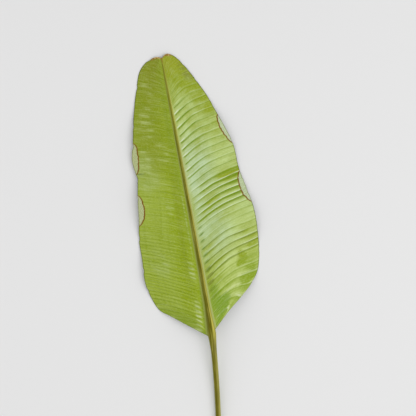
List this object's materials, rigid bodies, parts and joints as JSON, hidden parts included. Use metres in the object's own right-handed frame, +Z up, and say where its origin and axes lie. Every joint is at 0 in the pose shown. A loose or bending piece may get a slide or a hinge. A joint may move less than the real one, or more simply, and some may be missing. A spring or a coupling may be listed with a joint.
{
  "type": "banana leaf",
  "caption": "Single cut banana leaf, oblong pleated blade with a proud rib and a long guttered stalk, lying underside up on its drooping margins.",
  "frame": {"origin": "middle of the leaf's footprint, on the surface that it lies on", "axes": "+Y from the cut stalk to the tip, +X to the right half of the blade seen from above, +Z up, out of the underside of the leaf"},
  "size_m": [0.2996, 0.985, 0.0593],
  "materials": {
    "leaf": "satin"
  },
  "bodies": {
    "root": {"banana_leaf": "leaf"}
  },
  "joints": []
}
